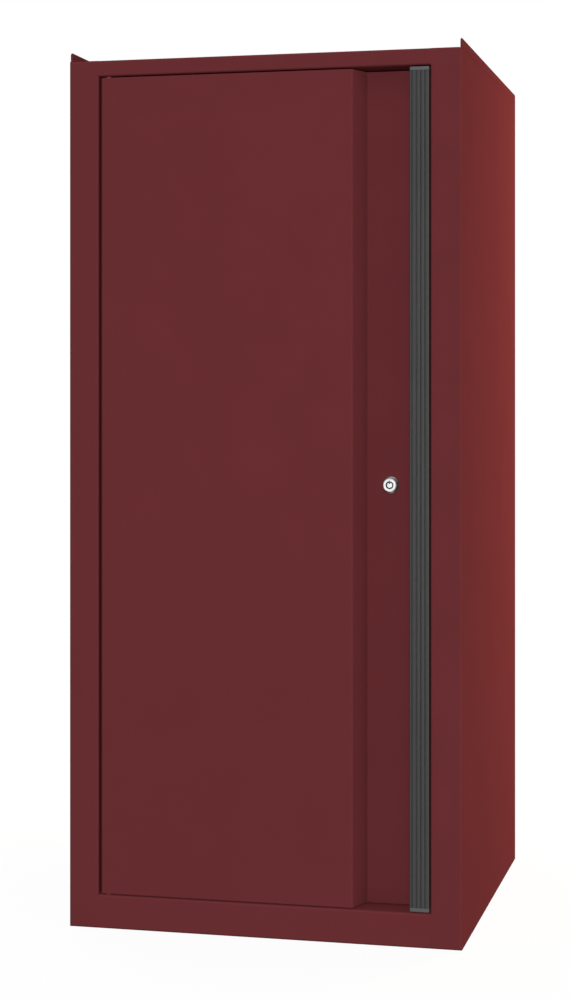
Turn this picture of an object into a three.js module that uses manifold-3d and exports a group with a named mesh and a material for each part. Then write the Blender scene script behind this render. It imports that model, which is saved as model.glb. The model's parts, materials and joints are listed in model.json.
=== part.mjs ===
// Side locker for a tool chest: a tall sheet-steel cupboard with one pivot-hung door.
// Millimetres. X runs right across the front, Y runs back from the front and Z runs up.
// The origin is on the ground, in the middle of the plan.

import * as THREE from 'three';
import { mergeVertices } from 'three/addons/utils/BufferGeometryUtils.js';
import Module from 'manifold-3d';

const wasm = await Module();
wasm.setup();

// Overall size
const WIDTH = 508;
const DEPTH = 524;
const HEIGHT = 1123;

// Sheet steel
const SHEET = 1.2;
const BEND_RADIUS = 1.5; // inside radius
const SEAM = 0.05; // between welded or screwed faces

// Front frame and carcass
const STILE = 39;
const TOP_RAIL = 20.5;
const BOTTOM_RAIL = 43;
const SIDE_LIP = 12; // height of the side panels above the deck
const LIP_SETBACK = 5; // from the front face to the start of the lip
const LIP_CORNER = 3;
const STOP_FLANGE = 15; // turned in behind the door
const STOP_GAP = 2; // from the closed door to the stop flange
const SOFFIT = 75; // depth of the return over the door
const FOOT_RETURN = 25; // turned in under the bottom rail
const BACK_FLANGE = 18; // carries the back panel
const WELD_FLANGE = 20; // deck and floor flanges on the side panels
const BACK_INSET = 1; // back panel edge to the outer faces
const CHANNEL_WIDTH = 60; // base channels
const CHANNEL_FLANGE = 16;
const CHANNEL_INSET = 95; // from the front or back face to the middle of a channel
const CHANNEL_END = 6; // from a channel's end to the side panel

// Shelves and the slotted standards that carry them
const SHELF_LEVELS = ['lower', 'middle', 'upper'];
const SHELF_FRONT = 75; // from the front face
const SHELF_PLAY = 1.5; // to the standards and the back
const SHELF_FLANGE = 25;
const SHELF_RETURN = 12;
const STANDARD_WIDTH = 16;
const STANDARD_DEPTH = 9;
const STANDARD_INSET = 115; // from the front or back face to the middle of a standard
const STANDARD_TOP = 4; // below the deck's weld flange
const SLOT_INSET = 40; // from the end of a standard
const SLOT_PITCH = 32;
const SLOT_PLAY = 0.3;
const SLOT_SPARE = 2; // height of a slot past the clip's hook
const CLIP_THICKNESS = 3;
const CLIP_HEIGHT = 12;
const CLIP_NECK = 6;
const CLIP_HOOK = 2.4;
const CLIP_NOSE = 3;

// Door
const HINGE_GAP = 3.5;
const FREE_GAP = 1.5;
const END_GAP = 1.8;
const RECESS_DEPTH = 32;
const RECESS_WIDTH = 83.5; // from the free edge to the foot of the bevel
const BEVEL_RUN = 13;
const STRIP_BOX = 13; // thickness of the door behind the recessed strip
const STIFFENER_WIDTH = 70;
const STIFFENER_FLANGE = 15;
const STIFFENER_END = 30; // from a stiffener's end to the end of the door
const STIFFENER_MIDDLE = 160; // from the hinge edge
const LINER_HOLE_PLAY = 4; // round the lock's nut

// Pull
const PULL_WIDTH = 24.5;
const PULL_WALL = 2.5;
const PULL_FACE = 3.2; // thickness of the grooved front
const PULL_LIP = 8; // depth of the finger lip
const PULL_CORNER = 1.4;
const PULL_FOOT = 17; // width of the foot on the strip
const PULL_OVERHANG = 2; // free edge of the pull past the door's folded edge
const PULL_CAP = 4.5;
const PULL_SPIGOT = 8;
const PULL_PLAY = 0.3;
const GROOVES = 4;
const GROOVE_INSET = 3.4; // from the finger lip to the middle of the first groove
const GROOVE_PITCH = 5.4;
const GROOVE_WIDTH = 1.7;
const GROOVE_DEPTH = 1.1;

// Lock
const LOCK_FROM_EDGE = 54; // free edge to the lock's axis
const LOCK_RISE = 3.5; // above the middle of the door
const LOCK_PROUD = 9;
const LOCK_FACE_RADIUS = 8.5;
const LOCK_EDGE = 0.8;
const BEZEL_RADIUS = 11.25;
const BEZEL_RIM = 2.2;
const BARREL_RADIUS = 9.5;
const BARREL_FLAT = 8; // from the axis to a flat
const BARREL_PLAY = 0.2;
const KEYWAY_RADIUS = 4.6;
const KEYWAY_DEPTH = 7;
const KEY_NOTCH = 1.6;
const POST_RADIUS = 3.3;
const POST_SET = 0.6; // below the lock's face
const POST_PLAY = 0.25;
const COLLAR_RADIUS = 4.2;
const COLLAR = 1.2;
const DRIVE = 4.4; // square that turns the cam
const NUT_RADIUS = 14; // across the corners
const NUT = 4;
const CAM = 2.5;
const CAM_HUB = 8;
const CAM_TIP = 6.5;
const CAM_BITE = 11; // overlap of the turned cam and the stop flange
const CAM_GAP = 0.8; // from the stop flange to the cam
const CAM_PLAY = 0.3;
const SCREW_RADIUS = 1.3;
const SCREW_LENGTH = 9;
const SCREW_HEAD_RADIUS = 4;
const SCREW_HEAD = 2.4;

// Pivot hinge
const PIN_RADIUS = 3;
const PIN_PLAY = 0.15;
const PIN_HEAD = 2.5;
const PIN_HEAD_RADIUS = 4.5;
const PIN_REACH = 11; // into the door
const BUSH_FLANGE_RADIUS = 5.5;
const BUSH_RADIUS = 4.3;
const BUSH_PLAY = 0.3;
const BUSH_INSET = 3; // from the hinge edge to the bush's flange
const BRACKET = 3;
const BRACKET_EDGE = 2; // metal in front of the pin
const BRACKET_WIDTH = 36;
const BRACKET_DEPTH = 26;
const BRACKET_CORNER = 3;

// Magnetic catches and bumpers
const CATCH_FROM_EDGE = 63; // free edge to the middle of a catch
const CATCH_WIDTH = 46;
const CATCH_DEPTH = 15;
const CATCH_HEIGHT = 13;
const CATCH_WALL = 3;
const CATCH_CORNER = 2;
const CATCH_PLAY = 0.2;
const CATCH_AIR = 0.5; // magnet to plate
const PLATE = 1.2;
const PLATE_HEIGHT = 12;
const PLATE_EDGE = 2; // from the end of the liner
const BUMPER_RADIUS = 5;
const BUMPER_INSET = 150; // from the ends of the opening
const BUMPER_AIR = 0.3;

// Fineness of round forms
const ARC_STEP = Math.PI / 8;
const ROUND_STEPS = 24;
const FULL_ROUND = 0.95; // share of a half width that rounds an end

// Places that follow from the sizes
const SIDE = WIDTH / 2;
const INNER_SIDE = SIDE - SHEET;
const FRONT = -DEPTH / 2;
const BACK = DEPTH / 2;
const DECK = HEIGHT - SIDE_LIP;
const FLOOR = BOTTOM_RAIL;
const OPENING_TOP = DECK - TOP_RAIL;
const OPENING_SIDE = SIDE - STILE;
const FLANGE_BACK = BACK - SHEET - SEAM; // face that the back panel lies on
const BEND = SHEET + BEND_RADIUS; // outside radius of a fold

const DOOR_THICKNESS = RECESS_DEPTH + STRIP_BOX;
const STOP_DEPTH = DOOR_THICKNESS + STOP_GAP;
const DOOR_LEFT = -OPENING_SIDE + HINGE_GAP;
const DOOR_BOTTOM = FLOOR + END_GAP;
const DOOR_HEIGHT = OPENING_TOP - FLOOR - 2 * END_GAP;
const FREE_EDGE = 2 * OPENING_SIDE - HINGE_GAP - FREE_GAP; // from the hinge edge
const SKIN_WIDTH = FREE_EDGE - PULL_OVERHANG;
const STRIP_LEFT = FREE_EDGE - RECESS_WIDTH;
const PANEL_WIDTH = STRIP_LEFT - BEVEL_RUN;
const PIVOT_INSET = BUSH_INSET + BUSH_FLANGE_RADIUS;
const PIVOT_DEPTH = BEND + BRACKET_EDGE + PIN_PLAY + PIN_RADIUS;

// Finishes
const PAINT = { color: 0x652d30, roughness: 0.42, metalness: 0 };
const BLACK_ANODISED = { color: 0x2c2c2d, roughness: 0.38, metalness: 0.6 };
const BLACK_PLASTIC = { color: 0x1c1c1d, roughness: 0.5, metalness: 0 };
const RUBBER = { color: 0x161616, roughness: 0.8, metalness: 0 };
const CHROME = { color: 0xd9dadb, roughness: 0.14, metalness: 1 };
const ZINC = { color: 0xa9abad, roughness: 0.38, metalness: 1 };
const BRONZE = { color: 0x7d5a3c, roughness: 0.45, metalness: 1 };
const MAGNET = { color: 0x3b3b3d, roughness: 0.6, metalness: 0.3 };

// The closed solid of a geometry, ready to be joined or cut
function solidOf(geometry) {
  const bare = geometry.clone();
  bare.deleteAttribute('normal');
  bare.deleteAttribute('uv');
  const merged = mergeVertices(bare);
  const corners = merged.index.array;
  const triangles = [];
  for (let i = 0; i < corners.length; i += 3) {
    const [a, b, c] = corners.slice(i, i + 3);
    if (a !== b && b !== c && c !== a) triangles.push(a, b, c);
  }
  const vertProperties = new Float32Array(merged.attributes.position.array);
  const triVerts = new Uint32Array(triangles);
  return new wasm.Manifold(new wasm.Mesh({ numProp: 3, vertProperties, triVerts }));
}

function geometryOf(solid) {
  const { vertProperties, triVerts } = solid.getMesh();
  const geometry = new THREE.BufferGeometry();
  geometry.setAttribute('position', new THREE.BufferAttribute(vertProperties, 3));
  geometry.setIndex(new THREE.BufferAttribute(triVerts, 1));
  geometry.computeVertexNormals();
  return geometry;
}

function join(...pieces) {
  return geometryOf(pieces.map(solidOf).reduce((whole, piece) => whole.add(piece)));
}

function cut(body, ...tools) {
  return geometryOf(tools.map(solidOf).reduce((whole, tool) => whole.subtract(tool), solidOf(body)));
}

function overlap(first, second) {
  return geometryOf(solidOf(first).intersect(solidOf(second)));
}

// The arc that rounds a corner: its centre, the spoke where it starts and the angle that it turns through
function cornerArc(before, corner, after, radius) {
  const into = corner.clone().sub(before).normalize();
  const out = after.clone().sub(corner).normalize();
  const turn = Math.atan2(into.cross(out), into.dot(out));
  const spoke = new THREE.Vector2(into.y, -into.x).multiplyScalar(Math.sign(turn));
  const start = corner.clone().addScaledVector(into, -radius * Math.tan(Math.abs(turn) / 2));
  return { centre: start.addScaledVector(spoke, -radius), spoke, turn };
}

function arcPoints({ centre, spoke, turn }, radius) {
  const steps = Math.max(2, Math.ceil(Math.abs(turn) / ARC_STEP));
  return Array.from({ length: steps + 1 }, (_, step) => {
    const point = spoke.clone().multiplyScalar(radius).add(centre);
    return point.rotateAround(centre, (turn * step) / steps);
  });
}

// Closed outline through corners [x, y] or [x, y, radius]
function outline(corners) {
  const at = corners.map(([x, y]) => new THREE.Vector2(x, y));
  const points = corners.flatMap(([, , radius], i) => {
    if (!radius) return [at[i]];
    const arc = cornerArc(at.at(i - 1), at[i], at[(i + 1) % at.length], radius);
    return arcPoints(arc, radius);
  });
  return new THREE.Shape(points);
}

// Section of a sheet folded along a path. The near face follows the path, the far face lies to its right,
// and each fold [x, y] or [x, y, inside radius] is an arc on both faces.
function foldedFaces(path) {
  const at = path.map(([x, y]) => new THREE.Vector2(x, y));
  const near = [];
  const far = [];
  at.forEach((point, i) => {
    const before = at[i - 1] ?? point.clone().multiplyScalar(2).sub(at[1]);
    const after = at[i + 1] ?? point.clone().multiplyScalar(2).sub(at[i - 1]);
    const along = point.clone().sub(before).normalize();
    const rightward = new THREE.Vector2(along.y, -along.x);
    if (i === 0 || i === at.length - 1) {
      near.push(point);
      far.push(point.clone().addScaledVector(rightward, SHEET));
      return;
    }
    const turnsRight = after.clone().sub(point).dot(rightward) > 0;
    const inside = path[i][2] ?? BEND_RADIUS;
    const nearRadius = turnsRight ? inside + SHEET : inside;
    const farRadius = turnsRight ? inside : inside + SHEET;
    const arc = cornerArc(before, point, after, nearRadius);
    near.push(...arcPoints(arc, nearRadius));
    far.push(...arcPoints(arc, farRadius));
  });
  return { near, far };
}

function folded(path) {
  const { near, far } = foldedFaces(path);
  return new THREE.Shape([...near, ...far.reverse()]);
}

// Extrusions of a shape drawn in plan (x, y), in side view (y, z) or in front view (x, z)
function extrude(shape, length) {
  const curveSegments = ROUND_STEPS / 2;
  return new THREE.ExtrudeGeometry(shape, { depth: length, bevelEnabled: false, curveSegments });
}

function extrudeUp(shape, from, to) {
  return extrude(shape, to - from).translate(0, 0, from);
}

const Y_Z_X = new THREE.Matrix4().makeBasis(
  new THREE.Vector3(0, 1, 0),
  new THREE.Vector3(0, 0, 1),
  new THREE.Vector3(1, 0, 0),
);
const X_Z_FRONT = new THREE.Matrix4().makeBasis(
  new THREE.Vector3(1, 0, 0),
  new THREE.Vector3(0, 0, 1),
  new THREE.Vector3(0, -1, 0),
);

function extrudeAcross(shape, from, to) {
  return extrude(shape, to - from).applyMatrix4(Y_Z_X).translate(from, 0, 0);
}

function extrudeBack(shape, from, to) {
  return extrude(shape, to - from).applyMatrix4(X_Z_FRONT).translate(0, to, 0);
}

function block([x0, x1], [y0, y1], [z0, z1]) {
  const box = new THREE.BoxGeometry(x1 - x0, y1 - y0, z1 - z0);
  return box.translate((x0 + x1) / 2, (y0 + y1) / 2, (z0 + z1) / 2);
}

// Turned forms from a profile of [radius, distance along the axis], drawn with the metal on its left
function turnedBack(profile) {
  return new THREE.LatheGeometry(profile.map(([r, y]) => new THREE.Vector2(r, y)), ROUND_STEPS);
}

function turnedUp(profile) {
  return turnedBack(profile).rotateX(Math.PI / 2);
}

function rod(radius, from, to) {
  return [[0, from], [radius, from], [radius, to], [0, to]];
}

// The same piece mirrored in the plane z = 0, with its faces still outwards
function mirroredDown(geometry) {
  const mirrored = geometry.clone().scale(1, 1, -1);
  mirrored.setIndex([...mirrored.index.array].reverse());
  return mirrored;
}

function part(name, geometry, finish) {
  const mesh = new THREE.Mesh(geometry, new THREE.MeshStandardMaterial(finish));
  mesh.name = name;
  return mesh;
}

function placed(object, x, y, z) {
  object.position.set(x, y, z);
  return object;
}

// Side panel: stop flange, jamb, stile, wall and rear flange are one folded sheet, with a hemmed lip on top.
// The left panel is side -1 and the right panel is side 1.
function sidePanel(side) {
  const mirror = (path) => (side < 0 ? path : path.map(([x, y]) => [-x, y]).reverse());
  const wall = [[-SIDE, FRONT], [-SIDE, FLANGE_BACK], [-SIDE + BACK_FLANGE, FLANGE_BACK]];
  const stile = [[-OPENING_SIDE, FRONT], ...wall];
  const jamb = [
    [-OPENING_SIDE + STOP_FLANGE, FRONT + STOP_DEPTH],
    [-OPENING_SIDE, FRONT + STOP_DEPTH],
    ...stile,
  ];
  const plain = folded(mirror(stile));
  const rebated = folded(mirror(jamb));
  const hem = outline([
    [side * SIDE, DECK - SIDE_LIP],
    [side * SIDE, HEIGHT, SHEET * FULL_ROUND],
    [side * (SIDE - 2 * SHEET), HEIGHT, SHEET * FULL_ROUND],
    [side * (SIDE - 2 * SHEET), DECK + SEAM],
    [side * INNER_SIDE, DECK + SEAM],
    [side * INNER_SIDE, DECK - SIDE_LIP],
  ]);
  const lipFront = FRONT + LIP_SETBACK;
  const lipSide = outline([
    [lipFront, DECK - SIDE_LIP],
    [FLANGE_BACK - BEND, DECK - SIDE_LIP],
    [FLANGE_BACK - BEND, HEIGHT, LIP_CORNER],
    [lipFront, HEIGHT, LIP_CORNER],
  ]);
  const lip = overlap(extrudeBack(hem, FRONT, BACK), extrudeAcross(lipSide, -WIDTH, WIDTH));
  return join(
    extrudeUp(plain, 0, DECK),
    extrudeUp(rebated, FLOOR + SEAM, OPENING_TOP - SEAM),
    lip,
  );
}

// Deck or floor sheet between the walls, with its weld flanges turned down
function levelSheet(top) {
  const edge = INNER_SIDE - SEAM;
  const section = folded([[-edge, top - WELD_FLANGE], [-edge, top], [edge, top], [edge, top - WELD_FLANGE]]);
  const corner = OPENING_SIDE - SEAM;
  const wings = [-1, 1].map((side) => {
    const reach = [side * corner, side * (edge - BEND)].sort((a, b) => a - b);
    return block(reach, [FRONT + SHEET + SEAM, FRONT + 2 * BEND], [top - SHEET, top]);
  });
  return join(extrudeBack(section, FRONT + BEND, FLANGE_BACK - BEND), ...wings);
}

function pivotHole(from, to) {
  const hole = turnedUp(rod(PIN_RADIUS + PIN_PLAY, from, to));
  return hole.translate(DOOR_LEFT + PIVOT_INSET, FRONT + PIVOT_DEPTH, 0);
}

// Top panel: soffit over the door, top rail, deck and rear flange
function topPanel() {
  const rail = folded([[FRONT + SOFFIT, OPENING_TOP], [FRONT, OPENING_TOP], [FRONT, DECK], [0, DECK]]);
  const rear = folded([[0, DECK], [FLANGE_BACK, DECK], [FLANGE_BACK, DECK - WELD_FLANGE]]);
  const railHalf = OPENING_SIDE - SEAM;
  const rearHalf = SIDE - BACK_FLANGE - SEAM;
  const panel = join(
    levelSheet(DECK),
    extrudeAcross(rail, -railHalf, railHalf),
    extrudeAcross(rear, -rearHalf, rearHalf),
  );
  return cut(panel, pivotHole(OPENING_TOP - SHEET, OPENING_TOP + 2 * SHEET));
}

// Base pan: floor, bottom rail with its foot, and rear flange with its foot
function basePan() {
  const rail = folded([[FRONT + FOOT_RETURN, 0], [FRONT, 0], [FRONT, FLOOR], [0, FLOOR]]);
  const rear = folded([[0, FLOOR], [FLANGE_BACK, FLOOR], [FLANGE_BACK, 0], [FLANGE_BACK - FOOT_RETURN, 0]]);
  const railHalf = OPENING_SIDE - SEAM;
  const rearHalf = SIDE - BACK_FLANGE - SEAM;
  const pan = join(
    levelSheet(FLOOR),
    extrudeAcross(rail, -railHalf, railHalf),
    extrudeAcross(rear, -rearHalf, rearHalf),
  );
  return cut(pan, pivotHole(FLOOR - 2 * SHEET, FLOOR + SHEET));
}

function backPanel() {
  const half = SIDE - BACK_INSET;
  return block([-half, half], [BACK - SHEET, BACK], [BACK_INSET, DECK - BACK_INSET]);
}

// Base channel: a hat section welded under the floor, level with the feet
function baseChannel() {
  const half = CHANNEL_WIDTH / 2;
  const top = FLOOR - SHEET - SEAM;
  const section = folded([
    [-half - CHANNEL_FLANGE, top],
    [-half, top],
    [-half, SHEET],
    [half, SHEET],
    [half, top],
    [half + CHANNEL_FLANGE, top],
  ]);
  const end = INNER_SIDE - SHEET - CHANNEL_END;
  return extrudeAcross(section, -end, end);
}

function makeCarcass() {
  const carcass = new THREE.Group();
  carcass.add(
    part('left_side_panel', sidePanel(-1), PAINT),
    part('right_side_panel', sidePanel(1), PAINT),
    part('top_panel', topPanel(), PAINT),
    part('base_pan', basePan(), PAINT),
    part('back_panel', backPanel(), PAINT),
    placed(part('base_channel_front', baseChannel(), PAINT), 0, FRONT + CHANNEL_INSET, 0),
    placed(part('base_channel_rear', baseChannel(), PAINT), 0, BACK - CHANNEL_INSET, 0),
  );
  return carcass;
}

// Slotted standards
const STANDARD_BOTTOM = FLOOR + SEAM;
const STANDARD_LENGTH = DECK - WELD_FLANGE - STANDARD_TOP - STANDARD_BOTTOM;
const SLOT_HEIGHT = CLIP_HEIGHT + SLOT_SPARE;
const SLOT_COUNT = 1 + Math.floor((STANDARD_LENGTH - 2 * SLOT_INSET - SLOT_HEIGHT) / SLOT_PITCH);
const STANDARD_FACE = INNER_SIDE - SEAM - STANDARD_DEPTH;

function slotBottom(index) {
  return SLOT_INSET + index * SLOT_PITCH;
}

function standard() {
  const half = STANDARD_WIDTH / 2;
  const channel = folded([[0, half], [STANDARD_DEPTH, half], [STANDARD_DEPTH, -half], [0, -half]]);
  const slotHalf = CLIP_THICKNESS / 2 + SLOT_PLAY;
  const slots = Array.from({ length: SLOT_COUNT }, (_, index) => {
    const bottom = slotBottom(index);
    const through = [STANDARD_DEPTH - 2 * SHEET, STANDARD_DEPTH + SHEET];
    return block(through, [-slotHalf, slotHalf], [bottom, bottom + SLOT_HEIGHT]);
  });
  return cut(extrudeUp(channel, 0, STANDARD_LENGTH), ...slots);
}

// Shelf clip: its hook passes through a slot and hangs behind the standard's face, which is at x = 0.
// The shelf rests on its top, at z = 0.
function shelfClip() {
  const behind = -SHEET - SLOT_PLAY;
  const reach = SHELF_PLAY + SHELF_RETURN + SLOT_PLAY;
  const profile = outline([
    [reach, 0],
    [behind - CLIP_HOOK, 0],
    [behind - CLIP_HOOK, -CLIP_HEIGHT],
    [behind, -CLIP_HEIGHT],
    [behind, -CLIP_NECK],
    [SLOT_PLAY, -CLIP_NECK],
    [SLOT_PLAY, -CLIP_HEIGHT],
    [reach, -CLIP_NOSE],
  ]);
  return extrudeBack(profile, -CLIP_THICKNESS / 2, CLIP_THICKNESS / 2);
}

// Shelf: a tray turned down, with its side, front and rear flanges returned inwards. Its underside is z = 0.
function shelf() {
  const half = STANDARD_FACE - SHELF_PLAY;
  const front = FRONT + SHELF_FRONT;
  const rear = FLANGE_BACK - SHEET - SHELF_PLAY;
  const across = folded([
    [-half + SHELF_RETURN, 0],
    [-half, 0],
    [-half, SHELF_FLANGE],
    [half, SHELF_FLANGE],
    [half, 0],
    [half - SHELF_RETURN, 0],
  ]);
  const along = folded([
    [front + SHELF_RETURN, 0],
    [front, 0],
    [front, SHELF_FLANGE],
    [rear, SHELF_FLANGE],
    [rear, 0],
    [rear - SHELF_RETURN, 0],
  ]);
  const inner = half - SHELF_RETURN - BEND_RADIUS;
  return join(extrudeBack(across, front + BEND, rear - BEND), extrudeAcross(along, -inner, inner));
}

function makeShelving() {
  const shelving = new THREE.Group();
  const standardShape = standard();
  const clipShape = shelfClip();
  const shelfShape = shelf();
  const hands = { left: -1, right: 1 };
  const places = { front: FRONT + STANDARD_INSET, rear: BACK - STANDARD_INSET };
  const clipTops = SHELF_LEVELS.map((_, i) => {
    const slot = Math.round(((i + 1) * SLOT_COUNT) / (SHELF_LEVELS.length + 1));
    return STANDARD_BOTTOM + slotBottom(slot) + SEAM + CLIP_NECK;
  });
  for (const [hand, side] of Object.entries(hands)) {
    const wall = new THREE.Group();
    wall.rotation.z = side < 0 ? 0 : Math.PI;
    for (const [place, y] of Object.entries(places)) {
      const along = -side * y;
      const upright = part(`shelf_standard_${hand}_${place}`, standardShape, PAINT);
      wall.add(placed(upright, -INNER_SIDE + SEAM, along, STANDARD_BOTTOM));
      SHELF_LEVELS.forEach((level, i) => {
        const clip = part(`shelf_clip_${level}_${hand}_${place}`, clipShape, ZINC);
        wall.add(placed(clip, -STANDARD_FACE, along, clipTops[i]));
      });
    }
    shelving.add(wall);
  }
  SHELF_LEVELS.forEach((level, i) => {
    shelving.add(placed(part(`shelf_${level}`, shelfShape, PAINT), 0, 0, clipTops[i] + SEAM));
  });
  return shelving;
}

// Barrel section of the lock: a circle with two flats
function flattedCircle(radius, flat) {
  const angle = Math.acos(flat / radius);
  const shape = new THREE.Shape();
  shape.absarc(0, 0, radius, angle, Math.PI - angle, false);
  shape.absarc(0, 0, radius, Math.PI + angle, 2 * Math.PI - angle, false);
  return shape;
}

// Lock parts are drawn from the lock's axis, with y = 0 on the face of the recessed strip
const LOCK_X = FREE_EDGE - LOCK_FROM_EDGE;
const LOCK_Z = DOOR_HEIGHT / 2 + LOCK_RISE;
const CAM_FACE = STRIP_BOX + STOP_GAP + SHEET + CAM_GAP;
const BARREL_END = CAM_FACE - CAM_PLAY;
const KEYWAY_END = -LOCK_PROUD + KEYWAY_DEPTH;
const CAM_REACH = LOCK_FROM_EDGE + FREE_GAP - STOP_FLANGE + CAM_BITE;

function lockHousing() {
  const bore = POST_RADIUS + POST_PLAY;
  const head = turnedBack([
    [KEYWAY_RADIUS, -LOCK_PROUD],
    [LOCK_FACE_RADIUS - LOCK_EDGE, -LOCK_PROUD],
    [LOCK_FACE_RADIUS, -LOCK_PROUD + LOCK_EDGE],
    [BEZEL_RADIUS, -BEZEL_RIM],
    [BEZEL_RADIUS, -SEAM],
    [bore, -SEAM],
    [bore, KEYWAY_END],
    [KEYWAY_RADIUS, KEYWAY_END],
    [KEYWAY_RADIUS, -LOCK_PROUD],
  ]);
  const barrel = cut(
    extrudeBack(flattedCircle(BARREL_RADIUS, BARREL_FLAT), -SEAM - SHEET, BARREL_END),
    turnedBack(rod(bore, -BEZEL_RIM, BARREL_END + SHEET)),
  );
  const notch = block(
    [-KEY_NOTCH / 2, KEY_NOTCH / 2],
    [-LOCK_PROUD - LOCK_EDGE, KEYWAY_END],
    [KEYWAY_RADIUS - LOCK_EDGE, KEYWAY_RADIUS + KEY_NOTCH],
  );
  return cut(join(head, barrel), notch);
}

function lockPlug() {
  const face = -LOCK_PROUD + POST_SET;
  const collarEnd = KEYWAY_END - POST_PLAY;
  const post = turnedBack([
    [0, face],
    [POST_RADIUS, face],
    [POST_RADIUS, collarEnd - COLLAR],
    [COLLAR_RADIUS, collarEnd - COLLAR],
    [COLLAR_RADIUS, collarEnd],
    [POST_RADIUS, collarEnd],
    [POST_RADIUS, BARREL_END],
    [0, BARREL_END],
  ]);
  const half = DRIVE / 2;
  const square = block([-half, half], [BARREL_END - DRIVE, CAM_FACE + CAM], [-half, half]);
  const tail = CAM_FACE + CAM;
  const thread = turnedBack(rod(SCREW_RADIUS + POST_PLAY, tail - SCREW_LENGTH - CAM_PLAY, tail + CAM));
  const slot = block(
    [-KEY_NOTCH / 2, KEY_NOTCH / 2],
    [face - LOCK_EDGE, face + COLLAR],
    [POST_RADIUS - KEY_NOTCH, POST_RADIUS + KEY_NOTCH],
  );
  return cut(join(post, square), thread, slot);
}

function lockNut() {
  const from = SHEET + SEAM;
  const hexagon = new THREE.CylinderGeometry(NUT_RADIUS, NUT_RADIUS, NUT, 6).translate(0, from + NUT / 2, 0);
  return cut(hexagon, turnedBack(rod(BARREL_RADIUS + BARREL_PLAY, 0, from + 2 * NUT)));
}

// The cam points up, unlocked, and turns a quarter to reach behind the stop flange
function lockCam() {
  const hole = DRIVE / 2 + CAM_PLAY;
  const shape = outline([
    [CAM_HUB, -CAM_HUB, CAM_HUB * FULL_ROUND],
    [CAM_TIP, CAM_REACH, CAM_TIP / 2],
    [-CAM_TIP, CAM_REACH, CAM_TIP / 2],
    [-CAM_HUB, -CAM_HUB, CAM_HUB * FULL_ROUND],
  ]);
  const through = [CAM_FACE - CAM, CAM_FACE + 2 * CAM];
  return cut(extrudeBack(shape, CAM_FACE, CAM_FACE + CAM), block([-hole, hole], through, [-hole, hole]));
}

function camScrew() {
  const seat = CAM_FACE + CAM + SEAM;
  return turnedBack([
    [0, seat - SCREW_LENGTH],
    [SCREW_RADIUS, seat - SCREW_LENGTH],
    [SCREW_RADIUS, seat],
    [SCREW_HEAD_RADIUS, seat],
    [SCREW_HEAD_RADIUS, seat + SCREW_HEAD / 2],
    [SCREW_HEAD_RADIUS - SCREW_HEAD / 2, seat + SCREW_HEAD],
    [0, seat + SCREW_HEAD],
  ]);
}

function makeLock() {
  const lock = new THREE.Group();
  lock.add(
    part('lock_housing', lockHousing(), CHROME),
    part('lock_nut', lockNut(), ZINC),
    part('lock_plug', lockPlug(), CHROME),
    part('lock_cam', lockCam(), ZINC),
    part('cam_screw', camScrew(), ZINC),
  );
  return lock;
}

// Door pieces are drawn from the lower front corner at the hinge edge: x across, y back, z up.
// Skin: raised panel, bevel, recessed strip and edge folds are one sheet, closed by a plate at each end.
function doorSkin() {
  const path = [
    [SKIN_WIDTH, DOOR_THICKNESS],
    [SKIN_WIDTH, RECESS_DEPTH],
    [STRIP_LEFT, RECESS_DEPTH],
    [PANEL_WIDTH, 0],
    [0, 0],
    [0, DOOR_THICKNESS],
  ];
  const plate = new THREE.Shape(foldedFaces(path).near);
  const skin = join(
    extrudeUp(folded(path), 0, DOOR_HEIGHT),
    extrudeUp(plate, 0, SHEET),
    extrudeUp(plate, DOOR_HEIGHT - SHEET, DOOR_HEIGHT),
  );
  const lockHole = extrudeBack(
    flattedCircle(BARREL_RADIUS + BARREL_PLAY, BARREL_FLAT + BARREL_PLAY),
    RECESS_DEPTH - SHEET,
    RECESS_DEPTH + 2 * SHEET,
  ).translate(LOCK_X, 0, LOCK_Z);
  const bushHole = turnedUp(rod(BUSH_RADIUS + PIN_PLAY, -SHEET, DOOR_HEIGHT + SHEET));
  return cut(skin, lockHole, bushHole.translate(PIVOT_INSET, PIVOT_DEPTH, 0));
}

// Liner: the pan that closes the back of the door
function doorLiner() {
  const left = SHEET + SEAM;
  const right = SKIN_WIDTH - SHEET - SEAM;
  const flange = STRIP_BOX - SHEET - BEND;
  const section = folded([
    [left, DOOR_THICKNESS - flange],
    [left, DOOR_THICKNESS],
    [right, DOOR_THICKNESS],
    [right, DOOR_THICKNESS - flange],
  ]);
  const end = SHEET + SEAM;
  const holeRadius = NUT_RADIUS + LINER_HOLE_PLAY;
  const hole = turnedBack(rod(holeRadius, DOOR_THICKNESS - BEND, DOOR_THICKNESS + SHEET));
  return cut(extrudeUp(section, end, DOOR_HEIGHT - end), hole.translate(LOCK_X, 0, LOCK_Z));
}

// Stiffener: a hat section between the raised panel and the liner
function doorStiffener() {
  const half = STIFFENER_WIDTH / 2;
  const front = 2 * SHEET + SEAM;
  const rear = DOOR_THICKNESS - SHEET - SEAM;
  const section = folded([
    [STIFFENER_MIDDLE - half - STIFFENER_FLANGE, front],
    [STIFFENER_MIDDLE - half, front],
    [STIFFENER_MIDDLE - half, rear],
    [STIFFENER_MIDDLE + half, rear],
    [STIFFENER_MIDDLE + half, front],
    [STIFFENER_MIDDLE + half + STIFFENER_FLANGE, front],
  ]);
  return extrudeUp(section, STIFFENER_END, DOOR_HEIGHT - STIFFENER_END);
}

// Pull: a hooked extrusion with a grooved front, drawn from its finger lip, seated on the strip
const PULL_SEAT = RECESS_DEPTH - SEAM;

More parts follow.
